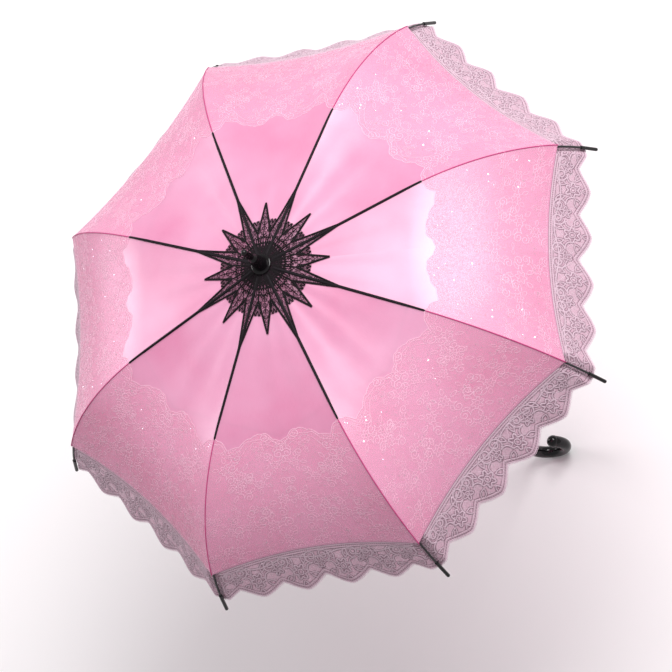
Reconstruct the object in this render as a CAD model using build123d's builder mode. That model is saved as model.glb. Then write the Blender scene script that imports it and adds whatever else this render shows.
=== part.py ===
"""Lace parasol: eight-rib folding frame, satin canopy with lace, straight stick with a crook handle.

Lengths are in millimetres: +Z runs up the stick to the ferrule, the origin is on the stick's axis at the hand
grip, and the crook hooks towards +X. The parasol stands open.

Each rib lies in an upright plane through the stick, at 22.5 degrees plus a multiple of 45. Its axis
leaves the top notch on a straight, gentle slope and then bends down on one arc. Canopy and lace follow
that same line at a distance, so both are drawn from it.
"""

import os
from math import cos, hypot, pi, radians, sin, sqrt, tan

from build123d import *

# ---- Frame ---------------------------------------------------------------------------------------
RIB_COUNT = 8
SECTOR = 360 / RIB_COUNT
HALF_SECTOR = SECTOR / 2
PIVOT_Z = 900.0  # height of the rib pivots above the grip
PIVOT_R = 11.0  # distance of the rib pivots from the stick's axis
SLOPE = 8.0  # degrees, inner rib below the horizontal
KNEE_R = 220.0  # where the straight inner rib ends and the bent outer rib starts
BEND_R = 278.0  # radius of the outer rib's bend
BEND_ANGLE = 60.0  # degrees of the bend, to the rib's end
FOLD_ANGLE = 80.0  # degrees that the inner rib folds down

# ---- Stick ---------------------------------------------------------------------------------------
SHAFT_R = 5.0
SHAFT_WALL = 0.8
SHAFT_FOOT = -8.0
SHAFT_TOP = PIVOT_Z + 30.0
SEAT_R = SHAFT_R + 0.02  # bores that are glued on the shaft
HANDLE_R = 9.0
HANDLE_TOP = 42.0
CROOK_START = -20.0
CROOK_R = 27.0
CROOK_ANGLE = 230.0
CROOK_END_R = 9.6
COLLAR_HEIGHT = 26.0

# ---- Ribs, stretchers, runner --------------------------------------------------------------------
RIB_WIDTH = 3.0
RIB_HEIGHT = 3.2
WIRE_R = 0.6
EYE_R = 2.4
EYE_HOLE_R = WIRE_R + 0.08
BLADE = 1.4  # thickness of the flattened ends
OUTER_ROD_R = 1.6
OUTER_START = 1.8  # the outer rib starts this far past the knee
RIVET_DROP = 6.0  # the stretcher's rivet is this far below the rib's axis
RIVET_R = 0.9
RING_R = 12.6  # radius of the runner's wire ring
RING_DROP = 165.0  # the ring below the rib pivots, parasol open
RUNNER_LENGTH = 50.0
RUNNER_BORE_R = SHAFT_R + 0.1
RUNNER_TUBE_R = 9.5
RUNNER_FLANGE_R = 15.5
TIP_R = 2.6
TIP_GRIP = 18.0  # length of rib inside the tip
TIP_NOSE = 15.0  # length of tip past the rib's end

# ---- Canopy --------------------------------------------------------------------------------------
CLOTH = 0.8
CLOTH_GAP = 3.0  # rib axis to the cloth's underside
CROWN_HOLE_R = 6.2
CROWN_RISE = 7.0  # top of the cloth at the stick, above the pivots
TENT_R = 70.0  # the raised crown runs out to here
PANEL_GAP = 0.25  # from each rib's plane
HEM_ANGLE = 47.2  # bend angle where the satin ends
LACE_ANGLE = 60.0  # bend angle of the lace's lowest points
SCALLOPS = 5  # to each panel
SCALLOP_DEPTH = 17.0
STAR_TIP_R = 120.0
STAR_MID_R = 96.0
STAR_VALLEY_R = 52.0
STAR_CLOTH = 0.6

RIB_PLANE = Plane(origin=(0, 0, PIVOT_Z), x_dir=(1, 0, 0), z_dir=(0, -1, 0))
INNER_RUN = (KNEE_R - PIVOT_R) / cos(radians(SLOPE))  # length of the straight inner rib


def rib_point(run):
    """A point of the rib's axis in RIB_PLANE, this far from the pivot along the straight inner rib."""
    return PIVOT_R + run * cos(radians(SLOPE)), -run * sin(radians(SLOPE))


def rib_turned(point, angle):
    """Where a point of the inner rib in RIB_PLANE is once the rib has folded down by this many degrees."""
    x, y, turn = point[0] - PIVOT_R, point[1], radians(angle)
    return PIVOT_R + x * cos(turn) + y * sin(turn), y * cos(turn) - x * sin(turn)


KNEE = rib_point(INNER_RUN)
BEND_CENTRE = (KNEE[0] - BEND_R * sin(radians(SLOPE)), KNEE[1] - BEND_R * cos(radians(SLOPE)))


def bend_point(angle, out=0.0):
    """A point of RIB_PLANE at this angle of the bend, this far outside the rib's axis."""
    lean = radians(SLOPE + angle)
    return (
        BEND_CENTRE[0] + (BEND_R + out) * sin(lean),
        BEND_CENTRE[1] + (BEND_R + out) * cos(lean),
    )


def plane_along(point, lean):
    """A plane at a point of RIB_PLANE with x leaning down from the radius by this many degrees."""
    direction = (cos(radians(lean)), 0, -sin(radians(lean)))
    return Plane(origin=(point[0], 0, PIVOT_Z + point[1]), x_dir=direction, z_dir=(0, -1, 0))


def save(piece, name):
    """Writes one sub-part."""
    piece.label = name
    export_step(piece, f"parts/{name}.step")


def save_ring(piece, name, first_angle):
    """Writes one copy of a sub-part for each rib, turned about the stick."""
    for number in range(RIB_COUNT):
        copy = piece.rotate(Axis.Z, first_angle + number * SECTOR)
        save(copy, f"{name}_{number + 1}")


# ---- Stick ---------------------------------------------------------------------------------------


def make_shaft(catch_bottoms):
    """Steel tube with one window for each spring catch."""
    with BuildPart() as shaft:
        with BuildSketch(Plane.XY.offset(SHAFT_FOOT)):
            Circle(SHAFT_R)
            Circle(SHAFT_R - SHAFT_WALL, mode=Mode.SUBTRACT)
        extrude(amount=SHAFT_TOP - SHAFT_FOOT)
        with Locations(*[(SHAFT_R, 0, bottom + CATCH_HEIGHT / 2) for bottom in catch_bottoms]):
            Box(4, CATCH_WIDTH + 0.6, CATCH_HEIGHT + 2, mode=Mode.SUBTRACT)
    return shaft.part


def make_handle():
    """Crook handle: straight grip, one arc and a rounded bulb, bored for the shaft."""
    with BuildPart() as handle:
        with BuildLine(Plane.XZ) as route:
            Line((0, HANDLE_TOP), (0, CROOK_START))
            CenterArc((CROOK_R, CROOK_START), CROOK_R, 180, CROOK_ANGLE)
        with BuildSketch(Plane.XY.offset(HANDLE_TOP)):
            Circle(HANDLE_R)
        sweep(path=route.line)
        end = route.line @ 1
        with Locations((end.X, end.Y, end.Z)):
            Sphere(CROOK_END_R)
        with Locations((0, 0, HANDLE_TOP)):
            Hole(SEAT_R, depth=HANDLE_TOP - SHAFT_FOOT + 2)
        fillet(handle.edges().filter_by(GeomType.CIRCLE).group_by(Axis.Z)[-1].sort_by(SortBy.RADIUS)[-1], 1.5)
    return handle.part


def make_handle_collar():
    """Tapered collar that covers the joint of shaft and handle."""
    with BuildPart() as collar:
        with BuildSketch(Plane.XZ):
            with BuildLine():
                Polyline(
                    (SEAT_R, HANDLE_TOP),
                    (HANDLE_R - 0.4, HANDLE_TOP),
                    (HANDLE_R - 0.4, HANDLE_TOP + 3),
                    (SHAFT_R + 1.0, HANDLE_TOP + COLLAR_HEIGHT),
                    (SEAT_R, HANDLE_TOP + COLLAR_HEIGHT),
                    close=True,
                )
            make_face()
        revolve(axis=Axis.Z)
    return collar.part


FERRULE_FOOT = PIVOT_Z + 11.0
FERRULE_NECK = PIVOT_Z + 40.0
FERRULE_PIN_R = 4.5
FERRULE_PIN_LENGTH = 20.0


def make_ferrule():
    """Cone with a plain cylindrical spike and a rounded end, bored for the shaft."""
    spike_top = FERRULE_NECK + FERRULE_PIN_LENGTH
    with BuildPart() as ferrule:
        with BuildSketch(Plane.XZ):
            with BuildLine():
                Polyline(
                    (0, spike_top + FERRULE_PIN_R),
                    (0, SHAFT_TOP + 0.5),
                    (SEAT_R, SHAFT_TOP + 0.5),
                    (SEAT_R, FERRULE_FOOT),
                    (10.5, FERRULE_FOOT),
                    (10.5, FERRULE_FOOT + 2),
                    (6.8, FERRULE_NECK - 5),
                    (FERRULE_PIN_R, FERRULE_NECK),
                    (FERRULE_PIN_R, spike_top),
                )
                CenterArc((0, spike_top), FERRULE_PIN_R, 0, 90)
            make_face()
        revolve(axis=Axis.Z)
    return ferrule.part


def make_crown_cap():
    """Domed washer that clamps rosette and canopy down on the notch."""
    foot, rim = PIVOT_Z + 8.4, 15.0
    with BuildPart() as cap:
        with BuildSketch(Plane.XZ):
            with BuildLine():
                Polyline((rim, foot), (SEAT_R, foot), (SEAT_R, FERRULE_FOOT), (10.5, FERRULE_FOOT))
                Spline((10.5, FERRULE_FOOT), (rim, foot + 0.8), tangents=((1, 0), (0.3, -1)))
                Line((rim, foot + 0.8), (rim, foot))
            make_face()
        revolve(axis=Axis.Z)
    return cap.part


def cut_wire_groove(ring_r, height):
    """The groove that the wire ring lies in, with a little room."""
    with Locations((0, 0, height)):
        Torus(ring_r, WIRE_R + 0.05, mode=Mode.SUBTRACT)


def cut_slots(root_r, width, bottom, top):
    """Radial slots for the flattened ends, open outwards, one for each rib."""
    length = 20.0
    with PolarLocations(root_r + length / 2, RIB_COUNT, start_angle=HALF_SECTOR):
        with Locations((0, 0, (bottom + top) / 2)):
            Box(length, width, top - bottom, mode=Mode.SUBTRACT)


def make_top_notch():
    """Slotted nylon crown that the ribs hinge in."""
    with BuildPart() as notch:
        with BuildSketch(Plane.XY.offset(PIVOT_Z - 5)):
            Circle(13.6)
            Circle(SEAT_R, mode=Mode.SUBTRACT)
        extrude(amount=9)
        cut_slots(7.2, BLADE + 0.8, PIVOT_Z - 6, PIVOT_Z + 3)
        cut_wire_groove(PIVOT_R, PIVOT_Z)
    return notch.part


def make_wire_ring(ring_r, height):
    """Wire ring through the flattened ends."""
    with BuildPart() as ring:
        with Locations((0, 0, height)):
            Torus(ring_r, WIRE_R)
    return ring.part


# ---- Runner and catches --------------------------------------------------------------------------
RING_Z = PIVOT_Z - RING_DROP
RUNNER_FOOT = RING_Z + 5 - RUNNER_LENGTH
CATCH_WIDTH = 2.4
CATCH_HEIGHT = 12.0
CATCH_REACH = 7.4  # the catch's outer face, from the stick's axis
KEYWAY_R = CATCH_REACH + 0.8  # the keyway in the runner clears the catches
KEYWAY_DEPTH = 6.0
LEAF = 0.8


def make_runner():
    """Runner: slotted flange on a tube with a thumb ring, keyed so that it passes the catches."""
    flange_foot = RING_Z - 4
    with BuildPart() as runner:
        with BuildSketch(Plane.XZ):
            with BuildLine():
                Polyline(
                    (RUNNER_BORE_R, RUNNER_FOOT),
                    (11.5, RUNNER_FOOT),
                    (11.5, RUNNER_FOOT + 4),
                    (RUNNER_TUBE_R, RUNNER_FOOT + 7),
                    (RUNNER_TUBE_R, flange_foot - 6),
                    (RUNNER_FLANGE_R, flange_foot),
                    (RUNNER_FLANGE_R, RING_Z + 4),
                    (RUNNER_TUBE_R, RING_Z + 5),
                    (RUNNER_BORE_R, RING_Z + 5),
                    close=True,
                )
            make_face()
        revolve(axis=Axis.Z)
        cut_slots(9.8, BLADE + 1.0, flange_foot - 7, RING_Z + 6)
        cut_wire_groove(RING_R, RING_Z)
        with Locations((KEYWAY_R - KEYWAY_DEPTH / 2, 0, RUNNER_FOOT + RUNNER_LENGTH / 2)):
            Box(KEYWAY_DEPTH, CATCH_WIDTH + 1.4, RUNNER_LENGTH + 2, mode=Mode.SUBTRACT)
    return runner.part


def make_catch(bottom, holds_up):
    """Leaf inside the tube with a wedge nose through its window, square on the side that holds."""
    leaf_x, leaf_length = 2.6, 30.0
    nose_x, top = leaf_x + LEAF, bottom + CATCH_HEIGHT
    square, ramp = (top, bottom) if holds_up else (bottom, top)
    middle = bottom + CATCH_HEIGHT / 2
    with BuildPart() as catch:
        with BuildSketch(Plane.XZ):
            with BuildLine():
                Polyline(
                    (nose_x, square),
                    (CATCH_REACH, square),
                    (CATCH_REACH, middle),
                    (SHAFT_R - 0.2, ramp),
                    (nose_x, ramp),
                    close=True,
                )
            make_face()
        extrude(amount=CATCH_WIDTH / 2, both=True)
        with Locations((leaf_x + LEAF / 2, 0, middle)):
            Box(LEAF, 3.0, leaf_length)
    return catch.part


# ---- Ribs and stretchers -------------------------------------------------------------------------


RIB_SIDE = plane_along((PIVOT_R, 0), SLOPE)  # x runs along the inner rib from its pivot
RIVET_AT = (INNER_RUN, -RIVET_DROP)


def make_rib_channel():
    """Channel rib, open below, with a flat eye at the pivot."""
    blade_end, channel_end = 9.0, INNER_RUN - 1.0
    hollow_end = channel_end - 15
    with BuildPart() as channel:
        with BuildSketch(RIB_SIDE):
            Circle(EYE_R)
            with Locations((6, 0)):
                Rectangle(12, RIB_HEIGHT)
            Circle(EYE_HOLE_R, mode=Mode.SUBTRACT)
        extrude(amount=BLADE / 2, both=True)
        with BuildSketch(RIB_SIDE):
            with Locations(((blade_end + channel_end) / 2, 0)):
                Rectangle(channel_end - blade_end, RIB_HEIGHT)
        extrude(amount=RIB_WIDTH / 2, both=True)
        with BuildSketch(RIB_SIDE):
            with Locations(((12 + hollow_end) / 2, -0.7)):
                Rectangle(hollow_end - 12, RIB_HEIGHT)
        extrude(amount=RIB_WIDTH / 2 - 0.55, both=True, mode=Mode.SUBTRACT)
    return channel.part


def make_connector():
    """Sleeve on the rib's end with a fork below it for the stretcher."""
    with BuildPart() as connector:
        with BuildSketch(RIB_SIDE):
            with Locations((INNER_RUN - 6.75, 0)):
                Rectangle(14.5, RIB_HEIGHT + 1.4)
        extrude(amount=RIB_WIDTH / 2 + 0.8, both=True)
        with BuildSketch(RIB_SIDE):
            with Locations(RIVET_AT):
                Circle(EYE_R)
            with Locations((INNER_RUN - 1.4, -RIVET_DROP / 2 - 0.6)):
                Rectangle(3.8, RIVET_DROP - 0.6)
        extrude(amount=BLADE / 2 + 1.1, both=True)
        with BuildSketch(RIB_SIDE):
            with Locations((INNER_RUN, -RIVET_DROP - 0.6)):
                Rectangle(12, RIVET_DROP + 0.1)
        extrude(amount=BLADE / 2 + 0.2, both=True, mode=Mode.SUBTRACT)
        with BuildSketch(RIB_SIDE):
            with Locations(RIVET_AT):
                Circle(RIVET_R + 0.03)
        extrude(amount=4, both=True, mode=Mode.SUBTRACT)
        with BuildSketch(RIB_SIDE):
            with Locations((INNER_RUN - 8.5, 0)):
                Rectangle(15.1, RIB_HEIGHT + 0.06)
        extrude(amount=RIB_WIDTH / 2 + 0.03, both=True, mode=Mode.SUBTRACT)
    return connector.part


def make_rivet():
    """Rivet that the stretcher turns on."""
    with BuildPart() as rivet:
        with BuildSketch(RIB_SIDE):
            with Locations(RIVET_AT):
                Circle(RIVET_R)
        extrude(amount=BLADE / 2 + 1.5, both=True)
    return rivet.part


def make_rib_inner():
    """Channel rib, connector and rivet, three solids of one sub-part."""
    return Compound([*make_rib_channel().solids(), *make_connector().solids(), *make_rivet().solids()])


def make_rib_outer():
    """Round rod on one arc."""
    start = OUTER_START / BEND_R * 180 / pi
    with BuildPart() as rod:
        with BuildLine(RIB_PLANE) as route:
            CenterArc(BEND_CENTRE, BEND_R, 90 - SLOPE - start, start - BEND_ANGLE)
        with BuildSketch(Plane(origin=route.line @ 0, z_dir=route.line % 0)):
            Circle(OUTER_ROD_R)
        sweep(path=route.line)
    return rod.part


def make_rib_tip():
    """Long black tip: a sleeve on the rod's end with a rounded nose."""
    middle_angle = BEND_ANGLE - TIP_GRIP / 2 / BEND_R * 180 / pi
    along = plane_along(bend_point(middle_angle), SLOPE + middle_angle)
    back, nose = -TIP_GRIP / 2, TIP_GRIP / 2 + TIP_NOSE
    bore_r, bore_end = OUTER_ROD_R + 0.2, TIP_GRIP / 2 + 0.5
    with BuildPart() as tip:
        with BuildSketch(along):
            with BuildLine():
                Polyline(
                    (nose, 0),
                    (bore_end, 0),
                    (bore_end, bore_r),
                    (back, bore_r),
                    (back, TIP_R),
                    (nose - TIP_R, TIP_R),
                )
                CenterArc((nose - TIP_R, 0), TIP_R, 0, 90)
            make_face()
        revolve(axis=Axis(along.origin, along.x_dir))
    return tip.part


RIVET_POINT = (
    KNEE[0] - RIVET_DROP * sin(radians(SLOPE)),
    KNEE[1] - RIVET_DROP * cos(radians(SLOPE)),
)
RING_POINT = (RING_R, -RING_DROP)
STRETCHER_LENGTH = hypot(RIVET_POINT[0] - RING_POINT[0], RIVET_POINT[1] - RING_POINT[1])


def make_stretcher():
    """Channel strut from the runner's ring, where it ends in an open hook, to the rib's rivet."""
    rise = Vector(RIVET_POINT[0] - RING_POINT[0], 0, RIVET_POINT[1] - RING_POINT[1]).normalized()
    origin = (RING_POINT[0], 0, PIVOT_Z + RING_POINT[1])
    side = Plane(origin=origin, x_dir=rise, z_dir=(0, -1, 0))
    height, blade = 3.0, 10.0
    with BuildPart() as stretcher:
        with BuildSketch(side):
            with Locations((STRETCHER_LENGTH / 2, 0)):
                Rectangle(STRETCHER_LENGTH, height)
            with Locations((0, 0), (STRETCHER_LENGTH, 0)):
                Circle(EYE_R - 0.1)
            with Locations((STRETCHER_LENGTH, 0)):
                Circle(RIVET_R + 0.06, mode=Mode.SUBTRACT)
            Circle(WIRE_R + 0.3, mode=Mode.SUBTRACT)
            with Locations((0, EYE_R / 2 + 0.2)):
                Rectangle(2 * WIRE_R + 0.6, EYE_R + 0.4, mode=Mode.SUBTRACT)
        extrude(amount=BLADE / 2, both=True)
        with BuildSketch(side):
            with Locations((STRETCHER_LENGTH / 2, 0)):
                Rectangle(STRETCHER_LENGTH - 2 * blade, height)
        extrude(amount=1.3, both=True)
        with BuildSketch(side):
            with Locations((STRETCHER_LENGTH / 2, -0.8)):
                Rectangle(STRETCHER_LENGTH - 3 * blade, height)
        extrude(amount=0.75, both=True, mode=Mode.SUBTRACT)
    return stretcher.part


# ---- Canopy, lace and rosette --------------------------------------------------------------------
CHORD = cos(radians(HALF_SECTOR))  # a panel's middle is this much nearer the stick than the ribs beside it


def cloth_start(out):
    """Where the cloth meets the stick, this far outside the rib's axis, in a panel's middle plane."""
    return CROWN_HOLE_R * CHORD, CROWN_RISE - (CLOTH_GAP + CLOTH - out)


def straight_point(radius, out):
    """A point outside the inner rib's axis at this radius, in a panel's middle plane."""
    run = (radius - PIVOT_R) / cos(radians(SLOPE))
    point = rib_point(run)
    return point[0] * CHORD, point[1] + out / cos(radians(SLOPE))


def bent_edge(out, first, last):
    """Arc outside the rib's bend, between two bend angles, in a panel's middle plane."""
    return EllipticalCenterArc(
        (BEND_CENTRE[0] * CHORD, BEND_CENTRE[1]),
        (BEND_R + out) * CHORD,
        BEND_R + out,
        start_angle=90 - SLOPE - last,
        arc_size=last - first,
    )


def sector(gap):
    """Plan of one panel between the two ribs beside it, less this much on each side."""
    reach, apex = 520.0, gap / sin(radians(HALF_SECTOR))
    half_width = (reach - apex) * tan(radians(HALF_SECTOR))
    with BuildSketch(Plane.XY.offset(PIVOT_Z - 300)) as plan:
        with BuildLine():
            Polyline((apex, 0), (reach, half_width), (reach, -half_width), close=True)
        make_face()
    return plan.sketch


def make_canopy_panel():
    """One satin panel between two ribs: raised crown, straight slope, bend, and a straight hem."""
    top, bottom = CLOTH_GAP + CLOTH, CLOTH_GAP
    with BuildPart() as panel:
        with BuildSketch(RIB_PLANE):
            with BuildLine():
                upper = bent_edge(top, 0, HEM_ANGLE)
                lower = bent_edge(bottom, 0, HEM_ANGLE)
                Polyline(cloth_start(top), straight_point(TENT_R, top), upper @ 1)
                Polyline(cloth_start(bottom), straight_point(TENT_R, bottom), lower @ 1)
                Line(cloth_start(top), cloth_start(bottom))
                Line(upper @ 0, lower @ 0)
            make_face()
        extrude(amount=200, both=True)
        extrude(sector(PANEL_GAP), amount=400, mode=Mode.INTERSECT)
    return panel.part


def make_lace_trim():
    """One panel's lace below the hem, with a zigzag edge that starts and ends on a point at the ribs."""
    first = HEM_ANGLE + 0.35 / BEND_R * 180 / pi
    foot = bend_point(LACE_ANGLE, CLOTH_GAP)
    head = bend_point(HEM_ANGLE, CLOTH_GAP)
    up = Vector((head[0] - foot[0]) * CHORD, 0, head[1] - foot[1]).normalized()
    face = Plane(
        origin=(foot[0] * CHORD, 0, PIVOT_Z + foot[1]),
        x_dir=(0, 1, 0),
        z_dir=Vector(0, 1, 0).cross(up),
    )
    pitch = 2 * foot[0] * sin(radians(HALF_SECTOR)) / SCALLOPS
    with BuildPart() as lace:
        with BuildSketch(RIB_PLANE):
            with BuildLine():
                upper = bent_edge(CLOTH_GAP + CLOTH, first, LACE_ANGLE)
                lower = bent_edge(CLOTH_GAP, first, LACE_ANGLE)
                Line(upper @ 0, lower @ 0)
                Line(upper @ 1, lower @ 1)
            make_face()
        extrude(amount=200, both=True)
        extrude(sector(PANEL_GAP), amount=400, mode=Mode.INTERSECT)
        with BuildSketch(face):
            with Locations(*[((number - (SCALLOPS - 1) / 2) * pitch, 0) for number in range(SCALLOPS)]):
                Polygon((0, SCALLOP_DEPTH), (-pitch, -SCALLOP_DEPTH), (pitch, -SCALLOP_DEPTH), align=None)
        extrude(amount=20, both=True, mode=Mode.SUBTRACT)
    return lace.part


def star_outline():
    """Corners of the star: long points over the ribs, shorter ones between."""
    corners = []
    for number in range(2 * RIB_COUNT):
        reach = STAR_TIP_R if number % 2 == 0 else STAR_MID_R
        for radius, turn in ((reach, 0.0), (STAR_VALLEY_R, HALF_SECTOR / 2)):
            angle = radians(HALF_SECTOR + number * HALF_SECTOR + turn)
            corners.append((radius * cos(angle), radius * sin(angle)))
    return corners


def make_lace_rosette():
    """Star of black lace that lies on the crown."""
    bottom = CLOTH_GAP + CLOTH + 0.3
    top, rim = bottom + STAR_CLOTH, STAR_TIP_R + 15
    with BuildPart() as slope:
        with BuildSketch(RIB_PLANE):
            with BuildLine():
                Polyline(cloth_start(top), straight_point(TENT_R, top), straight_point(rim, top))
                Polyline(cloth_start(bottom), straight_point(TENT_R, bottom), straight_point(rim, bottom))
                Line(cloth_start(top), cloth_start(bottom))
                Line(straight_point(rim, top), straight_point(rim, bottom))
            make_face()
        extrude(amount=100, both=True)
        extrude(sector(0), amount=400, mode=Mode.INTERSECT)
    with BuildPart() as rosette:
        with PolarLocations(0, RIB_COUNT):
            add(slope.part)
        with BuildSketch(Plane.XY.offset(PIVOT_Z - 100)):
            with BuildLine():
                Polyline(*star_outline(), close=True)
            make_face()
        extrude(amount=200, mode=Mode.INTERSECT)
    return rosette.part


# ---- Write every sub-part ------------------------------------------------------------------------
os.makedirs("parts", exist_ok=True)
TOP_CATCH = RUNNER_FOOT - 0.8 - CATCH_HEIGHT
RIVET_CLOSED = rib_turned(RIVET_POINT, FOLD_ANGLE)
CLOSED_RING_DROP = -RIVET_CLOSED[1] + sqrt(STRETCHER_LENGTH**2 - (RIVET_CLOSED[0] - RING_R) ** 2)
BOTTOM_CATCH = PIVOT_Z - CLOSED_RING_DROP + 5.8

save(make_shaft((TOP_CATCH, BOTTOM_CATCH)), "shaft")
save(make_handle(), "handle")
save(make_handle_collar(), "handle_collar")
save(make_ferrule(), "ferrule")
save(make_crown_cap(), "crown_cap")
save(make_top_notch(), "top_notch")
save(make_wire_ring(PIVOT_R, PIVOT_Z), "notch_wire")
save(make_lace_rosette(), "lace_rosette")
save(make_runner(), "runner")
save(make_wire_ring(RING_R, RING_Z), "runner_wire")
save(make_catch(TOP_CATCH, holds_up=True), "top_spring")
save(make_catch(BOTTOM_CATCH, holds_up=False), "bottom_spring")
save_ring(make_rib_inner(), "rib_inner", HALF_SECTOR)
save_ring(make_rib_outer(), "rib_outer", HALF_SECTOR)
save_ring(make_rib_tip(), "rib_tip", HALF_SECTOR)
save_ring(make_stretcher(), "stretcher", HALF_SECTOR)
save_ring(make_canopy_panel(), "canopy_panel", 0)
save_ring(make_lace_trim(), "lace_trim", 0)
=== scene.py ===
"""Looks of the lace parasol: satin, lace, star, seams, paint, light and camera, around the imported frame.

Lengths inside this script are in millimetres, in a gore's own frame: x outwards in the gore's middle, y
towards the rib, z above the rib pivots. Cloth is drawn from two numbers: s, the way along the cloth from
the stick, and q, from 0 in the gore's middle to 1 at the rib. place() turns one half gore and its mirror
image into the cloth beside each rib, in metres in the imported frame.
"""

import math

import bpy
import numpy as np
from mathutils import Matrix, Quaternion, Vector


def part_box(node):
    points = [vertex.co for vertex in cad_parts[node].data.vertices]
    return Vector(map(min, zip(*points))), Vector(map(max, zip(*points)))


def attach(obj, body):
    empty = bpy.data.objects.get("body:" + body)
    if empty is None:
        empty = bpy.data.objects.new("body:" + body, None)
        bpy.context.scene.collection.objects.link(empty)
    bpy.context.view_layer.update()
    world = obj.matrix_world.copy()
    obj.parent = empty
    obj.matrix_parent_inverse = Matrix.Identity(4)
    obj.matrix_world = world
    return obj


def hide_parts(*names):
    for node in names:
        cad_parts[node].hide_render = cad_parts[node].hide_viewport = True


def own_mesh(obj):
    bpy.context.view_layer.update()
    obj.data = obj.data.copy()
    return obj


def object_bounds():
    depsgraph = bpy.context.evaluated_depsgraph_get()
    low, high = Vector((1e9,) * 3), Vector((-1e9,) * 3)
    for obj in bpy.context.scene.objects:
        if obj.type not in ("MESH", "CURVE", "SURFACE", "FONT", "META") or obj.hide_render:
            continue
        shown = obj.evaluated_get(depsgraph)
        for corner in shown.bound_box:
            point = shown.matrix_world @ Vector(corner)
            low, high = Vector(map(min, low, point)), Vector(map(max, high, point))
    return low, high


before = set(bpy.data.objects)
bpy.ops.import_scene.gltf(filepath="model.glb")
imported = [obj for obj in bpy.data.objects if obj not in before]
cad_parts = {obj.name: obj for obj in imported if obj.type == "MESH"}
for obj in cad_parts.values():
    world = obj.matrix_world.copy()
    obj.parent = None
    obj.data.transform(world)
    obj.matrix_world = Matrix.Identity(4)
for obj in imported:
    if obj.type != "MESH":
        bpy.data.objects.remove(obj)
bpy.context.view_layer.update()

RIBS = 8
HALF_DEGREES = 180 / RIBS  # from a gore's middle to its rib
HALF = math.radians(HALF_DEGREES)
PIVOT_Z = sum(corner.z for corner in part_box("notch_wire")) / 2  # height of the rib pivots, in metres
rng = np.random.default_rng(7)

# ---- The cloth's surface ---------------------------------------------------------------------------
SLOPE = math.radians(8)  # of the inner rib, below the horizontal
PIVOT_R, KNEE_R = 11.0, 220.0  # radii of the rib's pivot and of its knee
BEND_R = 278.0  # the outer rib is bent to this radius
OUT = 3.8  # from the rib's axis to the cloth's outer face
KNEE_Z = -(KNEE_R - PIVOT_R) * math.tan(SLOPE)
CX = KNEE_R - BEND_R * math.sin(SLOPE)  # centre of the outer rib's bend
CZ = KNEE_Z - BEND_R * math.cos(SLOPE)
RC = BEND_R + OUT
TENT_R = 70.0  # out to here the cloth leaves the rib and rises to the crown cap
TOP = np.array([6.2, 7.0])
TENT = np.array([TENT_R, -(TENT_R - PIVOT_R) * math.tan(SLOPE) + OUT / math.cos(SLOPE)])
TENT_LEAN = math.atan2(TOP[1] - TENT[1], TENT[0] - TOP[0])
KNEE = np.array([CX + RC * math.sin(SLOPE), CZ + RC * math.cos(SLOPE)])
S_TENT = float(np.linalg.norm(TENT - TOP))
S_KNEE = S_TENT + float(np.linalg.norm(KNEE - TENT))
S_HEM = S_KNEE + RC * math.radians(47.2)
S_END = S_KNEE + RC * math.radians(60.0)  # the lace ends here
SCALLOPS, SCALLOP_DEPTH = 5, 17.0  # points of the lace's edge on each gore, and their depth
PULL, SAG, RUFFLE, PLEAT = 15.0, 11.0, 2.6, 0.4  # the most that cloth is off the ribs' line, in four ways
TUCK = 7.6  # the lace lies this far under the satin's surface at the rib


def smooth(a, b, x):
    """0 up to a, 1 from b, and a smooth step between."""
    t = np.clip((np.asarray(x, float) - a) / (b - a), 0, 1)
    return t * t * (3 - 2 * t)


def profile(s):
    """Radius, height and outward normal of the cloth over a rib."""
    s = np.asarray(s, float)
    bend = SLOPE + (s - S_KNEE) / RC
    tent, arc = s < S_TENT, s > S_KNEE
    lean = np.where(tent, TENT_LEAN, np.where(arc, bend, SLOPE))
    r = np.where(tent, TOP[0] + s * math.cos(TENT_LEAN), TENT[0] + (s - S_TENT) * math.cos(SLOPE))
    z = np.where(tent, TOP[1] - s * math.sin(TENT_LEAN), TENT[1] - (s - S_TENT) * math.sin(SLOPE))
    r = np.where(arc, CX + RC * np.sin(bend), r)
    z = np.where(arc, CZ + RC * np.cos(bend), z)
    return r, z, np.sin(lean), np.cos(lean)


def run_at(r):
    """How far along the cloth this radius of the rib is."""
    r = np.asarray(r, float)
    tent = (r - TOP[0]) / math.cos(TENT_LEAN)
    flat = S_TENT + (r - TENT[0]) / math.cos(SLOPE)
    arc = S_KNEE + RC * (np.arcsin(np.clip((r - CX) / RC, -1, 1)) - SLOPE)
    return np.where(r < TENT[0], tent, np.where(r < KNEE[0], flat, arc))


def half_width(s):
    """From the gore's middle to the rib."""
    return profile(s)[0] * math.sin(HALF)


def raw(s, q):
    """Points of the cloth. Between the ribs it is pulled in, and its hem is pulled up."""
    w = 1 - q * q
    pulled = PULL * smooth(180, 430, s) * (1 - smooth(S_HEM + 4, S_END, s))
    r, z, nr, nz = profile(s - pulled * w)
    sag = SAG * smooth(70, 320, s) * (1 - 0.45 * smooth(S_HEM, S_END, s)) * w
    ruffle = RUFFLE * smooth(S_HEM, S_END, s) * np.cos(math.pi * SCALLOPS * (q + 1)) * (1 - q**6)
    pleat = PLEAT * smooth(20, 60, s) * (1 - smooth(150, 300, s)) * np.cos(9.5 * q) * w
    out = ruffle + pleat - sag
    x, y = r * math.cos(HALF), r * math.sin(HALF) * q
    return np.stack([x + out * nr, y, z + out * nz], -1)


def with_normals(surface, s, q):
    """Points and outward normals of a surface."""
    s, q = np.broadcast_arrays(np.asarray(s, float), np.asarray(q, float))
    along = surface(s + 0.5, q) - surface(s - 0.5, q)
    across = surface(s, q + 0.003) - surface(s, q - 0.003)
    n = np.cross(along, across)
    return surface(s, q), n / np.linalg.norm(n, axis=-1, keepdims=True)


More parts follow.
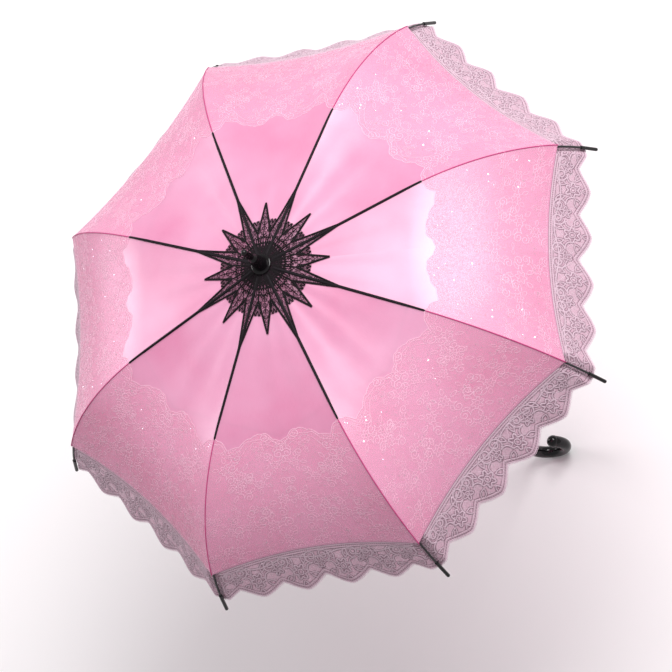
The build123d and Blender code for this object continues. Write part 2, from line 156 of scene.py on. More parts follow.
def cloth(s, q):
    """Points and normals of the satin's outer face."""
    return with_normals(raw, s, q)


def tucked(s, q):
    """Points of the lace's surface, held down under the rib and its tip."""
    p, n = cloth(s, q)
    from_rib = (1 - q) * half_width(s)
    return p - n * (TUCK * (1 - smooth(3.2, 15.0, from_rib)))[..., None]


def lace_cloth(s, q):
    """Points and normals of the lace's surface."""
    return with_normals(tucked, s, q)


def from_plan(x, y):
    """s and q of a point seen from above."""
    return run_at(x / math.cos(HALF)), y / np.maximum(x, 1e-6) / math.tan(HALF)


def from_hem(x, y):
    """s and q of a point x from the gore's middle and y below its hem."""
    s = S_HEM + np.asarray(y, float)
    return s, np.asarray(x, float) / half_width(s)


# ---- Meshes ----------------------------------------------------------------------------------------
GORE_SHIFT = [0.9, 0.37]  # moves the texture from gore to gore, so that no two are alike


def stretches(flags):
    """Runs of neighbouring indices over which the flag doesn't change."""
    return np.split(np.arange(len(flags)), np.flatnonzero(np.diff(flags.astype(int))) + 1)


class Half:
    """A mesh in half a gore. Vertices hold a point, a normal and a texture place."""

    def __init__(self, surface=cloth):
        self.points, self.normals, self.places, self.faces, self.count = [], [], [], [], 0
        self.surface = surface

    def add(self, points, normals, places, faces):
        """Joins more vertices and faces to the mesh."""
        self.points.append(points.reshape(-1, 3))
        self.normals.append(normals.reshape(-1, 3))
        self.places.append(places.reshape(-1, 2))
        self.faces.extend([[i + self.count for i in f] for f in faces])
        self.count += len(self.points[-1])

    def shell(self, s, q, lift=0.0, thick=0.35):
        """A closed sheet over a grid of s and q."""
        p, normal = self.surface(s, q)
        lift = np.broadcast_to(lift, s.shape)[..., None]
        places = np.stack([q * half_width(s), s], -1)
        at = np.arange(s.size).reshape(s.shape)
        a, b, c, d = at[:-1, :-1], at[1:, :-1], at[1:, 1:], at[:-1, 1:]
        top = np.stack([a, b, c, d], -1).reshape(-1, 4)
        under = np.stack([a, d, c, b], -1).reshape(-1, 4) + s.size
        ring = np.concatenate([at[:, 0], at[-1, 1:], at[-2::-1, -1], at[0, -2:0:-1]])
        following = np.roll(ring, -1)
        rim = np.stack([following, ring, ring + s.size, following + s.size], -1)
        points = np.stack([p + normal * lift, p + normal * (lift - thick)])
        faces = np.concatenate([top, under, rim]).tolist()
        self.add(points, np.stack([normal, -normal]), np.stack([places, places]), faces)
        return self

    def ribbon(self, s, q, half, lift, ridge):
        """A raised thread along a line of s and q, within the half gore."""
        s, q = np.asarray(s, float), np.asarray(q, float)
        inside = (q > -0.004) & (q < 1.0)
        for run in stretches(inside):
            if len(run) < 2 or not inside[run[0]]:
                continue
            p, n = self.surface(s[run], np.clip(q[run], 0, 1))
            side = np.cross(n, np.gradient(p, axis=0))
            side /= np.maximum(np.linalg.norm(side, axis=-1, keepdims=True), 1e-9)
            h = np.broadcast_to(half, (len(s),))[run][:, None]
            low, crest = p + n * lift, p + n * (lift + ridge)
            points = np.stack([low + side * h, crest, low - side * h], 1)
            normals = np.stack([side + n, n, n - side], 1)
            places = np.stack([q[run] * half_width(s[run]), s[run]], -1)[:, None].repeat(3, 1)
            k = np.arange(len(run) - 1)[:, None] * 3
            faces = np.concatenate([k + [0, 1, 4, 3], k + [1, 2, 5, 4]]).tolist()
            self.add(points, normals, places, faces)

    def cut_ribbon(self, s, q, keep, half, lift, ridge):
        """Only those stretches of a thread that lie where keep is true."""
        for run in stretches(keep):
            if keep[run[0]] and len(run) > 1:
                self.ribbon(s[run], q[run], half, lift, ridge)


def sector(half):
    """The half gore on one side of a rib and its mirror image on the other, in the rib's frame."""
    p, n = np.concatenate(half.points), np.concatenate(half.normals)
    uv = np.concatenate(half.places)
    c, s = math.cos(HALF), math.sin(HALF)
    turn = np.array([[c, s, 0], [-s, c, 0], [0, 0, 1]])
    p, n = p @ turn.T, n @ turn.T
    flip = np.array([1, -1, 1])
    points, normals = np.concatenate([p, p * flip]), np.concatenate([n, n * flip])
    faces = half.faces + [[i + len(p) for i in reversed(f)] for f in half.faces]
    side = np.r_[np.zeros(len(p)), np.ones(len(p))]
    return points, normals, np.concatenate([uv, uv * [-1, 1]]), faces, side


def mesh_object(name, points, faces, material, normals=None, places=None):
    """A mesh in the scene, with its own normals and texture places where they are given."""
    mesh = bpy.data.meshes.new(name)
    mesh.from_pydata(points.tolist(), [], faces)
    mesh.polygons.foreach_set("use_smooth", [True] * len(mesh.polygons))
    if places is not None:
        corner = np.zeros(len(mesh.loops), np.int32)
        mesh.loops.foreach_get("vertex_index", corner)
        uv = places[corner].astype(np.float32).ravel()
        mesh.uv_layers.new(name="cloth").data.foreach_set("uv", uv)
    mesh.materials.append(material)
    mesh.update()
    if normals is not None:
        length = np.maximum(np.linalg.norm(normals, axis=1, keepdims=True), 1e-9)
        mesh.normals_split_custom_set_from_vertices((normals / length).tolist())
    o = bpy.data.objects.new(name, mesh)
    bpy.context.scene.collection.objects.link(o)
    return o


def place(name, half, material, body, joint=None, own_normals=True):
    """Puts a sector at each rib, riding on the rib's body; given a joint, the sector gets a mesh of its own.
    """
    p, n, uv, faces, side = sector(half)
    made = []
    for i in range(1, RIBS + 1):
        a = math.radians(HALF_DEGREES * (2 * i - 1))
        turn = np.array([[math.cos(a), -math.sin(a), 0], [math.sin(a), math.cos(a), 0], [0, 0, 1]])
        points = p @ turn.T / 1000 + [0, 0, PIVOT_Z]
        normals = n @ turn.T if own_normals else None
        places = uv / 1000 + (i + side)[:, None] * GORE_SHIFT
        o = mesh_object(f"{name}_{i}", points, faces, material, normals, places)
        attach(o, f"{body}_{i}")
        if joint:
            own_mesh(o)
        made.append(o)
    return made


# ---- Materials -------------------------------------------------------------------------------------
def rgba(color):
    """A colour with its alpha, or a node's output as it is."""
    return color if isinstance(color, bpy.types.NodeSocket) else (*color, 1)


class Shader:
    """A material under construction: a few nodes and the links between them."""

    def __init__(self, name, color, rough, **sockets):
        self.material = bpy.data.materials.new(name)
        self.material.use_nodes = True
        self.tree = self.material.node_tree
        self.bsdf = self.tree.nodes["Principled BSDF"]
        self.out = self.tree.nodes["Material Output"]
        self.put(self.bsdf, "Base Color", rgba(color))
        self.put(self.bsdf, "Roughness", rough)
        for key, value in sockets.items():
            self.put(self.bsdf, key.replace("_", " "), value)

    def put(self, node, socket, value):
        """Sets a socket to a constant, or links it to another node's output."""
        if isinstance(value, bpy.types.NodeSocket):
            self.tree.links.new(value, node.inputs[socket])
        else:
            node.inputs[socket].default_value = value

    def node(self, kind, values=None, **settings):
        """A new node with these settings and inputs."""
        n = self.tree.nodes.new(kind)
        for key, value in settings.items():
            setattr(n, key, value)
        for key, value in (values or {}).items():
            self.put(n, key, value)
        return n

    def coordinates(self, scale=(1, 1, 1), cloth_map=True):
        """Places on the cloth, or in the object where it has no cloth map, in metres times the scale."""
        source = self.node("ShaderNodeTexCoord").outputs["UV" if cloth_map else "Object"]
        return self.node("ShaderNodeMapping", {"Scale": scale, "Vector": source}).outputs["Vector"]

    def noise(self, scale, at, detail=3.0, rough=0.5):
        """Soft patches of this many to a metre."""
        values = {"Scale": scale, "Detail": detail, "Roughness": rough, "Vector": at}
        return self.node("ShaderNodeTexNoise", values).outputs["Fac"]

    def math(self, operation, a, b):
        """Two values added or multiplied."""
        return self.node("ShaderNodeMath", {0: a, 1: b}, operation=operation).outputs[0]

    def ramp(self, value, low, high, a=0.0, b=1.0):
        """Maps low..high to a..b."""
        values = {"Value": value, "From Min": low, "From Max": high, "To Min": a, "To Max": b}
        return self.node("ShaderNodeMapRange", values).outputs["Result"]

    def blend(self, share, a, b):
        """Colour a, or b where the share is 1."""
        values = {0: share, 6: rgba(a), 7: rgba(b)}
        return self.node("ShaderNodeMix", values, data_type="RGBA").outputs[2]

    def bump(self, height, strength, distance=0.0005):
        """Small relief, its depth in metres."""
        values = {"Strength": strength, "Distance": distance, "Height": height}
        self.put(self.bsdf, "Normal", self.node("ShaderNodeBump", values).outputs["Normal"])

    def mix_surface(self, share, first, second):
        """Makes the surface first, or second where the share is 1."""
        mixed = self.node("ShaderNodeMixShader", {0: share, 1: first, 2: second}).outputs[0]
        self.put(self.out, "Surface", mixed)
        return mixed

    def thin_cloth(self, color, share):
        """Lets some light through, as thin cloth does."""
        glow = self.node("ShaderNodeBsdfTranslucent", {"Color": color})
        return self.mix_surface(share, self.bsdf.outputs[0], glow.outputs[0])

    def see_through(self, surface, clear):
        """Leaves the surface out by this share, as a fine net does."""
        gap = self.node("ShaderNodeBsdfTransparent")
        self.mix_surface(clear, surface, gap.outputs[0])


def satin(name, light, deep):
    """Satin: broad changes of colour, fine streaks along the warp, soft folds and a pale shine."""
    m = Shader(name, light, 0.36, Sheen_Weight=0.4, Sheen_Roughness=0.35, Anisotropic=0.45)
    m.put(m.bsdf, "Specular IOR Level", 0.7)
    m.put(m.bsdf, "Coat Weight", 0.55)
    m.put(m.bsdf, "Coat Roughness", 0.38)
    m.put(m.bsdf, "Coat IOR", 2.1)
    m.put(m.bsdf, "Sheen Tint", (1.0, 0.88, 0.97, 1))
    at = m.coordinates()
    broad = m.noise(5.5, at, 3.0, 0.55)
    streaks = m.noise(1.0, m.coordinates((2600, 90, 1)), 2.0)
    bright = tuple(min(1, c * 1.12) for c in light)
    color = m.blend(m.ramp(broad, 0.35, 0.7), light, deep)
    color = m.blend(m.ramp(streaks, 0.3, 0.75, 0.0, 0.22), color, bright)
    m.put(m.bsdf, "Base Color", color)
    m.put(m.bsdf, "Roughness", m.ramp(streaks, 0.3, 0.7, 0.3, 0.42))
    waves = {"Vector": at, "Scale": 420.0, "Distortion": 0.4, "Detail": 1.0}
    weave = m.node("ShaderNodeTexWave", waves, bands_direction="X").outputs["Fac"]
    folds = m.noise(1.0, m.coordinates((16, 5, 1)), 2.0)
    height = m.math("ADD", m.math("MULTIPLY", weave, 0.05), m.math("MULTIPLY", folds, 5.0))
    m.bump(height, 0.35, 0.0012)
    m.thin_cloth(color, 0.25)
    return m.material


def thread(name, color, dark, clear=0.0, rough=0.75, glow=0.2, sheen=0.25):
    """Twisted thread, or a net of it, where clear is about the share of its holes. Its grooves are painted
    darker, as shade, and it is darker in random patches too.
    """
    m = Shader(name, color, rough, Sheen_Weight=sheen)
    m.put(m.bsdf, "Specular IOR Level", 0.5 if sheen else 0.15)
    at = m.coordinates()
    twist = m.noise(900.0, at, 2.0)
    tone = m.ramp(m.noise(38.0, at, 2.0), 0.2, 0.8, 0.5, 1.0)
    # dark where the twist's bump is low: painted shade in the grooves; also darker in random patches of tone
    color = m.blend(m.math("MULTIPLY", m.ramp(twist, 0.3, 0.7), tone), dark, color)
    m.put(m.bsdf, "Base Color", color)
    m.bump(twist, 0.5, 0.0003)
    surface = m.thin_cloth(color, glow)
    if clear:
        cells = m.node("ShaderNodeTexVoronoi", {"Vector": at, "Scale": 620.0}, feature="DISTANCE_TO_EDGE")
        least, most = max(0.0, clear - 0.3), min(1.0, clear + 0.12)
        m.see_through(surface, m.ramp(cells.outputs["Distance"], 0.05, 0.22, least, most))
    return m.material


def hard(name, color, rough, scale=60.0, bump=0.04, dark=0.8, **sockets):
    """Paint, plastic or metal with a little unevenness and fine wear."""
    spread = 0.06  # of the roughness, either way
    m = Shader(name, color, rough, **sockets)
    at = m.coordinates(cloth_map=False)
    patch = m.noise(scale, at, 4.0, 0.6)
    fine = m.noise(scale * 18, at, 2.0)
    m.put(m.bsdf, "Base Color", m.blend(m.ramp(patch, 0.3, 0.7), tuple(c * dark for c in color), color))
    m.put(m.bsdf, "Roughness", m.ramp(patch, 0.3, 0.75, max(0.02, rough - spread), rough + spread))
    m.bump(fine, bump, 0.0002)
    return m.material


PINK, DEEP = (0.84, 0.42, 0.62), (0.77, 0.26, 0.46)
GLOSS = {"Coat_Weight": 0.15, "Coat_Roughness": 0.05, "Specular_IOR_Level": 0.25}
DULL = {"glow": 0.0, "sheen": 0.0}  # black thread
materials = {
    "satin": satin("satin", PINK, DEEP),
    "seam": thread("seam_thread", (0.72, 0.07, 0.30), (0.5, 0.03, 0.18)),
    "piping": thread("black_piping", (0.016, 0.010, 0.014), (0.005, 0.004, 0.006), rough=0.6, **DULL),
    "lace": thread("lace_cord", (0.86, 0.66, 0.76), (0.66, 0.46, 0.56)),
    # the dark lines beside the lace's pale cords: painted shadow
    "lace_shadow": thread("lace_cord_shadow", (0.36, 0.21, 0.28), (0.24, 0.13, 0.18)),
    "tulle": thread("lace_net", (0.78, 0.52, 0.64), (0.62, 0.40, 0.50), clear=0.36),
    "veil": thread("overlay_net", (1.0, 0.62, 0.79), (0.95, 0.52, 0.70), clear=0.9),
    "stitch": thread("overlay_cord", (0.98, 0.66, 0.80), (0.94, 0.56, 0.72), rough=0.4),
    "star": thread("star_cord", (0.012, 0.007, 0.010), (0.004, 0.003, 0.004), rough=0.7, **DULL),
    "star_net": thread("star_net", (0.03, 0.012, 0.022), (0.01, 0.005, 0.01), clear=0.95, **DULL),
    "star_middle": thread("star_tulle", (0.04, 0.02, 0.03), (0.02, 0.01, 0.016), clear=0.35, **DULL),
    "gloss": hard("gloss_black", (0.006, 0.005, 0.006), 0.12, **GLOSS),
    "paint": hard("frame_paint", (0.02, 0.02, 0.022), 0.32, scale=90.0, bump=0.12),
    "rod": hard("resin_rod", (0.016, 0.015, 0.017), 0.38, scale=140.0, bump=0.15),
    "nylon": hard("moulded_nylon", (0.025, 0.025, 0.027), 0.4, scale=110.0, bump=0.18),
    "steel": hard("drawn_steel", (0.62, 0.62, 0.64), 0.28, scale=200.0, bump=0.1, dark=0.75, Metallic=1.0),
    "glint": hard("glint", (1.0, 0.95, 0.98), 0.12, scale=300.0, Metallic=0.85),
}
NODE_MATERIALS = {
    "gloss": ("handle", "handle_collar", "ferrule", "crown_cap", "rib_tip"),
    "paint": ("shaft", "rib_inner", "stretcher"),
    "rod": ("rib_outer",),
    "nylon": ("top_notch", "runner"),
    "steel": ("notch_wire", "runner_wire", "top_spring", "bottom_spring"),
}
for kind, starts in NODE_MATERIALS.items():
    for node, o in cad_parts.items():
        if node.rstrip("_12345678") in starts:
            o.data.materials.clear()
            o.data.materials.append(materials[kind])

# ---- Satin canopy ----------------------------------------------------------------------------------
SATIN_START = 8.0  # s of its inner edge, at the crown cap
SATIN_EDGE = 0.9985  # q of its edge beside the seam
FLAP_STEPS = np.array([-2.4, -1.2, 0.0, 1.5])  # s of the outer satin's first rows, from the cut
FLAP_DROP = (-0.6, -0.45, -0.04)  # the first of them lie under the inner satin


def cut_run(q):
    """Where the cloth over the inner rib ends: straight across from the knee."""
    return run_at(KNEE[0] / (math.cos(HALF) ** 2 + math.sin(HALF) ** 2 * q))


def inner_satin():
    """From the crown cap to the cut."""
    q = np.linspace(0, SATIN_EDGE, 34)
    u = np.linspace(0, 1, 46)[:, None]
    return Half().shell(SATIN_START + u * (cut_run(q) - SATIN_START), q + 0 * u)


def outer_satin():
    """From a flap under the inner satin to the hem."""
    q = np.linspace(0, SATIN_EDGE, 34)
    u = np.linspace(0, 1, 44)[1:, None]
    cut, last = cut_run(q), FLAP_STEPS[-1]
    rows = np.vstack([cut + FLAP_STEPS[:, None], cut + last + u * (S_HEM - cut - last)])
    drop = np.r_[FLAP_DROP, np.zeros(len(rows) - len(FLAP_DROP))]
    return Half().shell(rows, q + 0 * rows, lift=drop[:, None] + 0 * q)


satin_inner = place("satin_inner", inner_satin(), materials["satin"], "rib_inner", "rib_fold")
satin_outer = place("satin_outer", outer_satin(), materials["satin"], "rib_outer", "rib_flex")

# ---- Seams -----------------------------------------------------------------------------------------
S_PIPE = float(run_at(246.0))  # the black cord ends here and the magenta seam goes on
CORD_SIDES = 7


def to_gore(x, y):
    """The rib's x and y in the gore's frame."""
    return x * math.cos(HALF) - y * math.sin(HALF), x * math.sin(HALF) + y * math.cos(HALF)


def piping(first, last, half, height, count, taper=1.0):
    """A flattened cord over the rib, half of it, so that its mirror image completes it."""
    s = np.linspace(first, last, count)
    r, z, nr, nz = (column[:, None] for column in profile(s))
    ends = np.clip(np.minimum(s - first, last - s) / 2.0, 0.05, 1) ** 0.5
    angles = np.linspace(-math.pi / 2, math.pi / 2, CORD_SIDES)
    across = np.cos(angles)[None, :] * (half * np.linspace(1, taper, count) * ends)[:, None]
    up = np.sin(angles)[None, :] * (height * ends)[:, None] + 0.25
    points = np.stack([*to_gore(r + up * nr, -across), z + up * nz], -1)
    nx, ny = to_gore(np.sin(angles) * nr, -np.cos(angles) + 0 * nr)
    normals = np.stack([nx, ny, np.sin(angles) * nz], -1)
    k = np.arange(count * CORD_SIDES).reshape(count, CORD_SIDES)
    faces = np.stack([k[:-1, :-1], k[1:, :-1], k[1:, 1:], k[:-1, 1:]], -1).reshape(-1, 4).tolist()
    cord = Half()
    cord.add(points, normals, np.stack([across, s[:, None] + 0 * across], -1), faces)
    return cord


inner_cord = piping(9, S_KNEE + 0.5, 2.4, 1.25, 60, taper=0.78)
outer_cord = piping(S_KNEE - 6, S_PIPE, 1.8, 1.2, 16, taper=0.8)
seam_cord = piping(S_PIPE - 1, S_HEM + 2, 0.85, 0.7, 60)
pipe_inner = place("piping_inner", inner_cord, materials["piping"], "rib_inner")
pipe_outer = place("piping_outer", outer_cord, materials["piping"], "rib_outer")
seam = place("seam", seam_cord, materials["seam"], "rib_outer")


# ---- Motifs ----------------------------------------------------------------------------------------
def ring(x, y, radius, petals=0, depth=0.0, count=None):
    """A circle, or a flower's outline with this many petals."""
    a = np.linspace(0, 2 * math.pi, count or (12 + 7 * petals))
    rad = radius * (1 - depth + depth * np.cos(petals * a))
    return x + rad * np.cos(a), y + rad * np.sin(a)


def scroll(x, y, radius, turns, start, way):
    """A spiral that winds in."""
    a = np.linspace(0, turns * 2 * math.pi, int(18 * turns))
    rad = radius * (1 - 0.8 * a / a[-1])
    return x + rad * np.cos(start + way * a), y + rad * np.sin(start + way * a)


def leaf(x, y, length, width, angle):
    """A pointed oval that grows from x, y."""
    t = np.linspace(0, 1, 9)
    along = np.r_[t, t[::-1]] * length
    side = np.r_[np.sin(t * math.pi), -np.sin(t[::-1] * math.pi)] * width / 2
    c, s = math.cos(angle), math.sin(angle)
    return x + along * c - side * s, y + along * s + side * c


def bow(x0, y0, x1, y1, bend):
    """A bent line between two points."""
    t = np.linspace(0, 1, 9)
    nx, ny = -(y1 - y0), x1 - x0
    side = bend * np.sin(t * math.pi)
    return x0 + (x1 - x0) * t + nx * side, y0 + (y1 - y0) * t + ny * side


def flower(x, y, k):
    """Lines of one flower with its scrolls and leaves, at size k: each is two arrays and a half width."""
    lines = [
        (*ring(x, y, 8.5 * k, 6, 0.22), 0.75 * k),
        (*ring(x, y, 3.0 * k), 0.6 * k),
        (*leaf(x, y + 9.5 * k, 10 * k, 5.5 * k, math.pi / 2), 0.6 * k),
    ]
    for way in (-1, 1):
        lines += [
            (*scroll(x + way * 17 * k, y - 14 * k, 7.5 * k, 1.5, math.pi / 2, way), 0.75 * k),
            (*bow(x + way * 17 * k, y - 6.5 * k, x + way * 8 * k, y + 2 * k, way * 0.3), 0.7 * k),
            (*leaf(x + way * 10 * k, y + 3 * k, 12 * k, 5.5 * k, math.pi / 2 - way * 1.0), 0.6 * k),
            (*leaf(x + way * 6.5 * k, y - 8 * k, 11 * k, 5 * k, -math.pi / 2 + way * 0.35), 0.6 * k),
        ]
    return lines


# ---- Lace below the hem ----------------------------------------------------------------------------
LACE_Q = 0.9999  # threads end here, at the rib
CORD_LIFT, SHADOW_LIFT = -0.45, -0.47  # from the lace's surface; the second is that of the painted shadows beside the cords, and of the thin bars
MOTIF_INSET = 5.8  # motifs and bars keep this far inside the edge


def edge_run(q, inset=0.0):
    """The lace's zigzag edge, a little uneven, or a line this far inside it."""
    q = np.asarray(q, float)
    phase = SCALLOPS / 2 * (q + 1)
    point = SCALLOP_DEPTH * 2 * np.hypot(phase - np.round(phase), 0.05)
    uneven = 1.6 + 1.3 * np.cos(6.5 * q + 0.9) + 0.5 * np.cos(31 * q)
    return S_END - point - uneven - inset / 0.886


def lace_tulle():
    """The net that the lace is worked on."""
    q = np.r_[np.linspace(0, 0.92, 48), np.linspace(0.924, 0.9995, 20)]
    u = np.linspace(0, 1, 16)[:, None]
    top = S_HEM - 4
    return Half(lace_cloth).shell(top + u * (edge_run(q, 0.8) - S_HEM + 4), q + 0 * u, lift=-0.5, thick=0.15)


def add_borders(cords, q_fine):
    """Cords along the edge and the hem, the short bars between them and the loops outside the edge."""
    for inset, half in ((1.1, 1.25), (5.6, 0.8)):
        cords.ribbon(edge_run(q_fine, inset), q_fine, half, CORD_LIFT, 0.7)
    for y, half in ((2.0, 0.9), (6.5, 0.6)):
        cords.ribbon(S_HEM + y + 0 * q_fine, q_fine, half, CORD_LIFT, 0.6)
    loop = np.linspace(0, math.pi, 7)
    for q in np.arange(0.006, 0.98, 0.0185):
        e = edge_run(q)
        cords.ribbon([e - 6.4, e - 1.0], [q, q], 0.4, CORD_LIFT, 0.35)
        cords.ribbon([S_HEM + 2.0, S_HEM + 6.5], [q, q], 0.35, CORD_LIFT, 0.3)
        cords.ribbon(e - 0.3 + 2.0 * np.sin(loop), q + 0.0085 * np.cos(loop), 0.4, CORD_LIFT, 0.3)


def add_flowers(cords, cord_shadows):
    """A large flower in each point of the edge and a small one above each notch, with a painted shadow round
    their cords.
    """
    motifs = [(point_q, line) for point_q in (0.2, 0.6, 1.0) for line in flower(0, 33, 1.3)]
    for notch_q in (0.0, 0.4, 0.8):
        motifs.append((notch_q, (*ring(0, 25, 8.5, 5, 0.25), 0.8)))
        motifs.append((notch_q, (*ring(0, 25, 2.8), 0.7)))
    for middle_q, (xs, ys, half) in motifs:
        s, _ = from_hem(xs, ys)
        q = middle_q + xs / half_width(s)
        keep = (s < edge_run(q, MOTIF_INSET)) & (q < LACE_Q)
        cords.cut_ribbon(s, q, keep, half * 1.15, -0.4, 0.7)
        # a wider dark ribbon under each cord: painted shadow round it
        cord_shadows.cut_ribbon(s, q, keep, half * 1.15 + 1.1, SHADOW_LIFT, 0.1)


def add_vine(cords, cord_shadows, q_fine):
    """A wavy stem below the hem, with a painted shadow along it."""
    vine = S_HEM + 13.0 + 3.5 * np.cos(3.7 * math.pi * q_fine)
    keep = vine < edge_run(q_fine, 6.0)
    cords.cut_ribbon(vine, q_fine, keep, 1.1, -0.42, 0.5)
    # a wider dark ribbon under the stem: painted shadow along it
    cord_shadows.cut_ribbon(vine, q_fine, keep, 2.1, SHADOW_LIFT, 0.1)


def add_cord_shadows(cord_shadows, q_fine):
    """Dark lines of painted shadow beside the borders' cords."""
    for inset in (3.2, 7.6):
        cord_shadows.ribbon(edge_run(q_fine, inset), q_fine, 0.55, SHADOW_LIFT, 0.15)
    for y in (0.6, 4.2, 8.0):
        cord_shadows.ribbon(S_HEM + y + 0 * q_fine, q_fine, 0.5, SHADOW_LIFT, 0.12)


def add_bars(cords):
    """Thin threads that cross between the flowers."""
    pitch = 13.0
    y = np.arange(7.0, 64.0, 3.0)
    for way in (-1, 1):
        for k in range(-10, 24):
            s, q = from_hem(k * pitch + way * y, y)
            keep = (s < edge_run(q, MOTIF_INSET)) & (q > 0) & (q < LACE_Q)
            cords.cut_ribbon(s, q, keep, 0.4, SHADOW_LIFT, 0.16)


def lace_threads():
    """The lace's pale cords, and the dark lines of painted shadow beside them."""
    cords, cord_shadows = Half(lace_cloth), Half(lace_cloth)
    q_fine = np.r_[np.linspace(0, 0.92, 220), np.linspace(0.923, 0.9995, 40)]
    add_borders(cords, q_fine)
    add_flowers(cords, cord_shadows)
    add_vine(cords, cord_shadows, q_fine)
    add_cord_shadows(cord_shadows, q_fine)
    add_bars(cords)
    return cords, cord_shadows


tulle = place("lace_net", lace_tulle(), materials["tulle"], "rib_outer", "rib_flex")
cords, cord_shadows = lace_threads()
lace_cords = place("lace_cords", cords, materials["lace"], "rib_outer", "rib_flex", own_normals=False)
# the dark lines are painted shadow beside the pale cords
dark = materials["lace_shadow"]
lace_cord_shadows = place("lace_cord_shadows", cord_shadows, dark, "rib_outer", "rib_flex", own_normals=False)

# ---- Embroidered veil on the lower satin -----------------------------------------------------------
FLOWER_ROWS, ROW_PITCH, FLOWER_PITCH = 6, 33, 44
WANDER, TURN = 9, 2.6  # how far a flower is moved and turned at random, at most (turn in radians)
GLINTS = 90  # on each half gore


def veil_run(q):
    """The uneven upper edge of the embroidery."""
    q = np.asarray(q, float)
    peaks = 6 * np.abs(np.sin(7.5 * q + 0.4)) + 3 * np.abs(np.sin(19 * q + 1))
    return S_PIPE + 16 + 9 * np.cos(3 * math.pi * q) - peaks


def veil_tulle():
    """The fine net that the embroidery is worked on."""
    q = np.linspace(0, 0.994, 57)
    u = np.linspace(0, 1, 34)[:, None]
    top = veil_run(q)
    return Half().shell(top + u * (S_HEM - 1 - top), q + 0 * u, lift=0.35, thick=0.1)


def scatter_flowers(work):
    """Rows of small flowers, each moved, turned and sized at random."""
    for row in range(FLOWER_ROWS):
        s0 = S_PIPE + 24 + row * ROW_PITCH
        width = float(half_width(s0))
        count = int(width / FLOWER_PITCH) + 1
        for j in range(count):
            x0 = (j + 0.5 * (row % 2)) * width / count + rng.uniform(-WANDER, WANDER)
            turn, grow = rng.uniform(-TURN, TURN), rng.uniform(0.6, 1.15)
            shift = rng.uniform(-WANDER, WANDER)
            cos, sin = math.cos(turn), math.sin(turn)
            for xs, ys, half in flower(0, 0, grow):
                xt, yt = xs * cos - ys * sin, xs * sin + ys * cos
                s = s0 + shift + yt
                q = x0 / width + xt / half_width(s)
                keep = (s > veil_run(q) + 2) & (s < S_HEM - 3)
                work.cut_ribbon(s, q, keep, half * 0.5, 0.35, 0.25)


def embroidery_threads():
    """Flowers, lines along the veil's upper edge and a row of stitches above the hem."""
    work = Half()
    scatter_flowers(work)
    q_fine = np.linspace(0, 0.99, 240)
    for inset, sway, half in ((0.6, 0.0, 0.42), (7.0, 2.5, 0.3), (15.0, 4.0, 0.25)):
        line = veil_run(q_fine) + inset + sway * np.cos(17 * q_fine + inset)
        work.ribbon(line, q_fine, half, 0.35, 0.25)
    for q in np.arange(0.004, 0.98, 0.026):
        work.ribbon([S_HEM - 4, S_HEM - 4], [q, q + 0.016], 0.3, 0.4, 0.2)
    return work


def glint_discs():
    """Tiny bright discs on the veil and the lace, each leaning its own way."""
    discs = Half()
    corners = np.arange(6)
    a = corners * math.pi / 3
    for _ in range(GLINTS):
        q = rng.uniform(0.02, 0.97)
        s = rng.uniform(float(veil_run(q)) + 2, S_HEM + 30)
        p, n = cloth(s, q)
        n = n + rng.normal(0, 0.22, 3)
        n /= np.linalg.norm(n)
        side = np.cross(n, [0.3, 0.7, 0.2])
        side /= np.linalg.norm(side)
        other = np.cross(n, side)
        rad = rng.uniform(0.35, 0.75)
        lift = 0.75 if s < S_HEM else 0.2
        disc = p + n * lift + rad * (np.cos(a)[:, None] * side + np.sin(a)[:, None] * other)
        discs.add(disc, np.repeat(n[None], 6, 0), np.zeros((6, 2)) + s, [corners.tolist()])
    return discs


veil = place("veil_net", veil_tulle(), materials["veil"], "rib_outer", "rib_flex")
work = embroidery_threads()
embroidery = place("embroidery", work, materials["stitch"], "rib_outer", "rib_flex", own_normals=False)
discs = glint_discs()
sparkle = place("sparkle", discs, materials["glint"], "rib_outer", "rib_flex", own_normals=False)

# ---- Black lace star on the crown ------------------------------------------------------------------
LONG, MIDDLE, VALLEY = 120.0, 96.0, 50.0  # radii of points over the ribs, points between, and notches
VALLEY_DEGREES = HALF_DEGREES / 2  # a notch is this far from the rib
FRILL = 70.5  # radius of the frill between two points
FRILL_DEGREES, FRILL_HALF = 11.6, 5.6  # its middle from the rib, and half its width
NET_START = 12  # radius where the net begins, under the denser cloth
STAR_LIFT = 0.95  # of the cords over the satin


def star_corner(radius, degrees):
    """Plan point at this radius, this far from the rib."""
    a = HALF - math.radians(degrees)
    return np.array([radius * math.cos(a), radius * math.sin(a)])


def straight(a, b, count):
    """Evenly spaced points from a to b."""
    return a + (b - a) * np.linspace(0, 1, count)[:, None]


def star_side(grow, count):
    """The star's outline over half a gore, from the point over the rib to the one in the gore's middle."""
    tip, mid = star_corner(LONG + 2.2 * grow, 0), star_corner(MIDDLE + 2 * grow, HALF_DEGREES)
    low = star_corner(VALLEY + grow, VALLEY_DEGREES)
    return np.vstack([straight(tip, low, count), straight(low, mid, count)[1:]])


def star_tulle():
    """The net in the star's points and behind its frill."""
    side = star_side(-1.0, 24)
    angle = np.arctan2(side[:, 1], side[:, 0])
    behind_frill = np.abs(np.degrees(HALF - angle) - FRILL_DEGREES) < FRILL_HALF
    radius = np.maximum(np.linalg.norm(side, axis=1), np.where(behind_frill, FRILL, 0.0))
    rays = NET_START + np.linspace(0, 1, 14)[:, None] * (radius - NET_START)
    s, q = from_plan(rays * np.cos(angle), rays * np.sin(angle))
    return Half().shell(s[:, ::-1], np.clip(q[:, ::-1], 0, 0.999), lift=0.8, thick=0.12)


